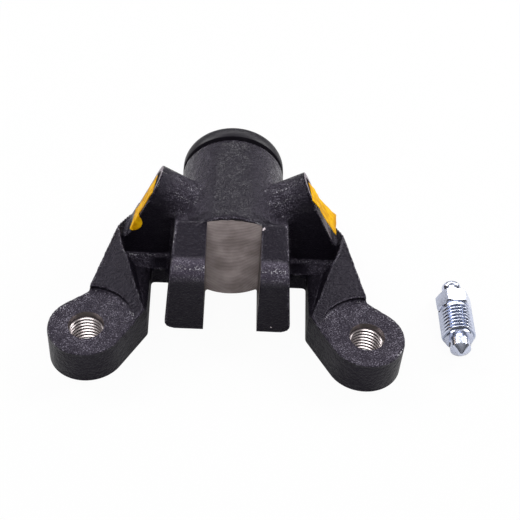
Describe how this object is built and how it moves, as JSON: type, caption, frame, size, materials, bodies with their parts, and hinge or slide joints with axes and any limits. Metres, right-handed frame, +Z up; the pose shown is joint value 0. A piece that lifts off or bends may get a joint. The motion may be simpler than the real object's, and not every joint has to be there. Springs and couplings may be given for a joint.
{
  "type": "hydraulic drum brake wheel cylinder",
  "caption": "Black cast-iron single-acting wheel cylinder with two tapped mounting ears, a forked shoe abutment, inclined ports, dust boot and loose bleeder screw.",
  "frame": {"origin": "midway between the two mounting holes, on the mounting plane under the ears", "axes": "+X across the ears, +Y along the bore towards its open end, +Z up from the mounting plane"},
  "size_m": [0.1482, 0.101, 0.0404],
  "materials": {
    "black_casting": "black paint over a sand-cast skin",
    "piston_steel": "ground",
    "seal_rubber": "smooth",
    "pressed_steel": "pressed",
    "spring_steel": "drawn wire",
    "boot_rubber": "satin",
    "zinc_plate": "bright zinc plate",
    "yellow_tape": "masking tape"
  },
  "bodies": {
    "casting": {"cylinder_body": "black_casting", "dust_boot": "boot_rubber", "return_spring": "spring_steel"},
    "piston_group": {"piston": "piston_steel", "piston_cup": "seal_rubber", "cup_expander": "pressed_steel"},
    "bleeder": {"bleeder_screw": "zinc_plate"},
    "tape_left": {"port_tape_left": "yellow_tape"},
    "tape_right": {"port_tape_right": "yellow_tape"}
  },
  "joints": [
    {"name": "piston_slide", "type": "slide", "parent": "casting", "child": "piston_group", "axis": [0, 1, 0], "range_m": [0, 0.009], "deforming": ["return_spring", "dust_boot"]},
    {"name": "bleeder_lift", "type": "slide", "parent": "casting", "child": "bleeder", "axis": [0, 0, 1], "range_m": [0, 0.04]},
    {"name": "tape_left_peel", "type": "slide", "parent": "casting", "child": "tape_left", "axis": [0.426, 0, 0.9047], "range_m": [0, 0.03]},
    {"name": "tape_right_peel", "type": "slide", "parent": "casting", "child": "tape_right", "axis": [-0.426, 0, 0.9047], "range_m": [0, 0.03]}
  ]
}
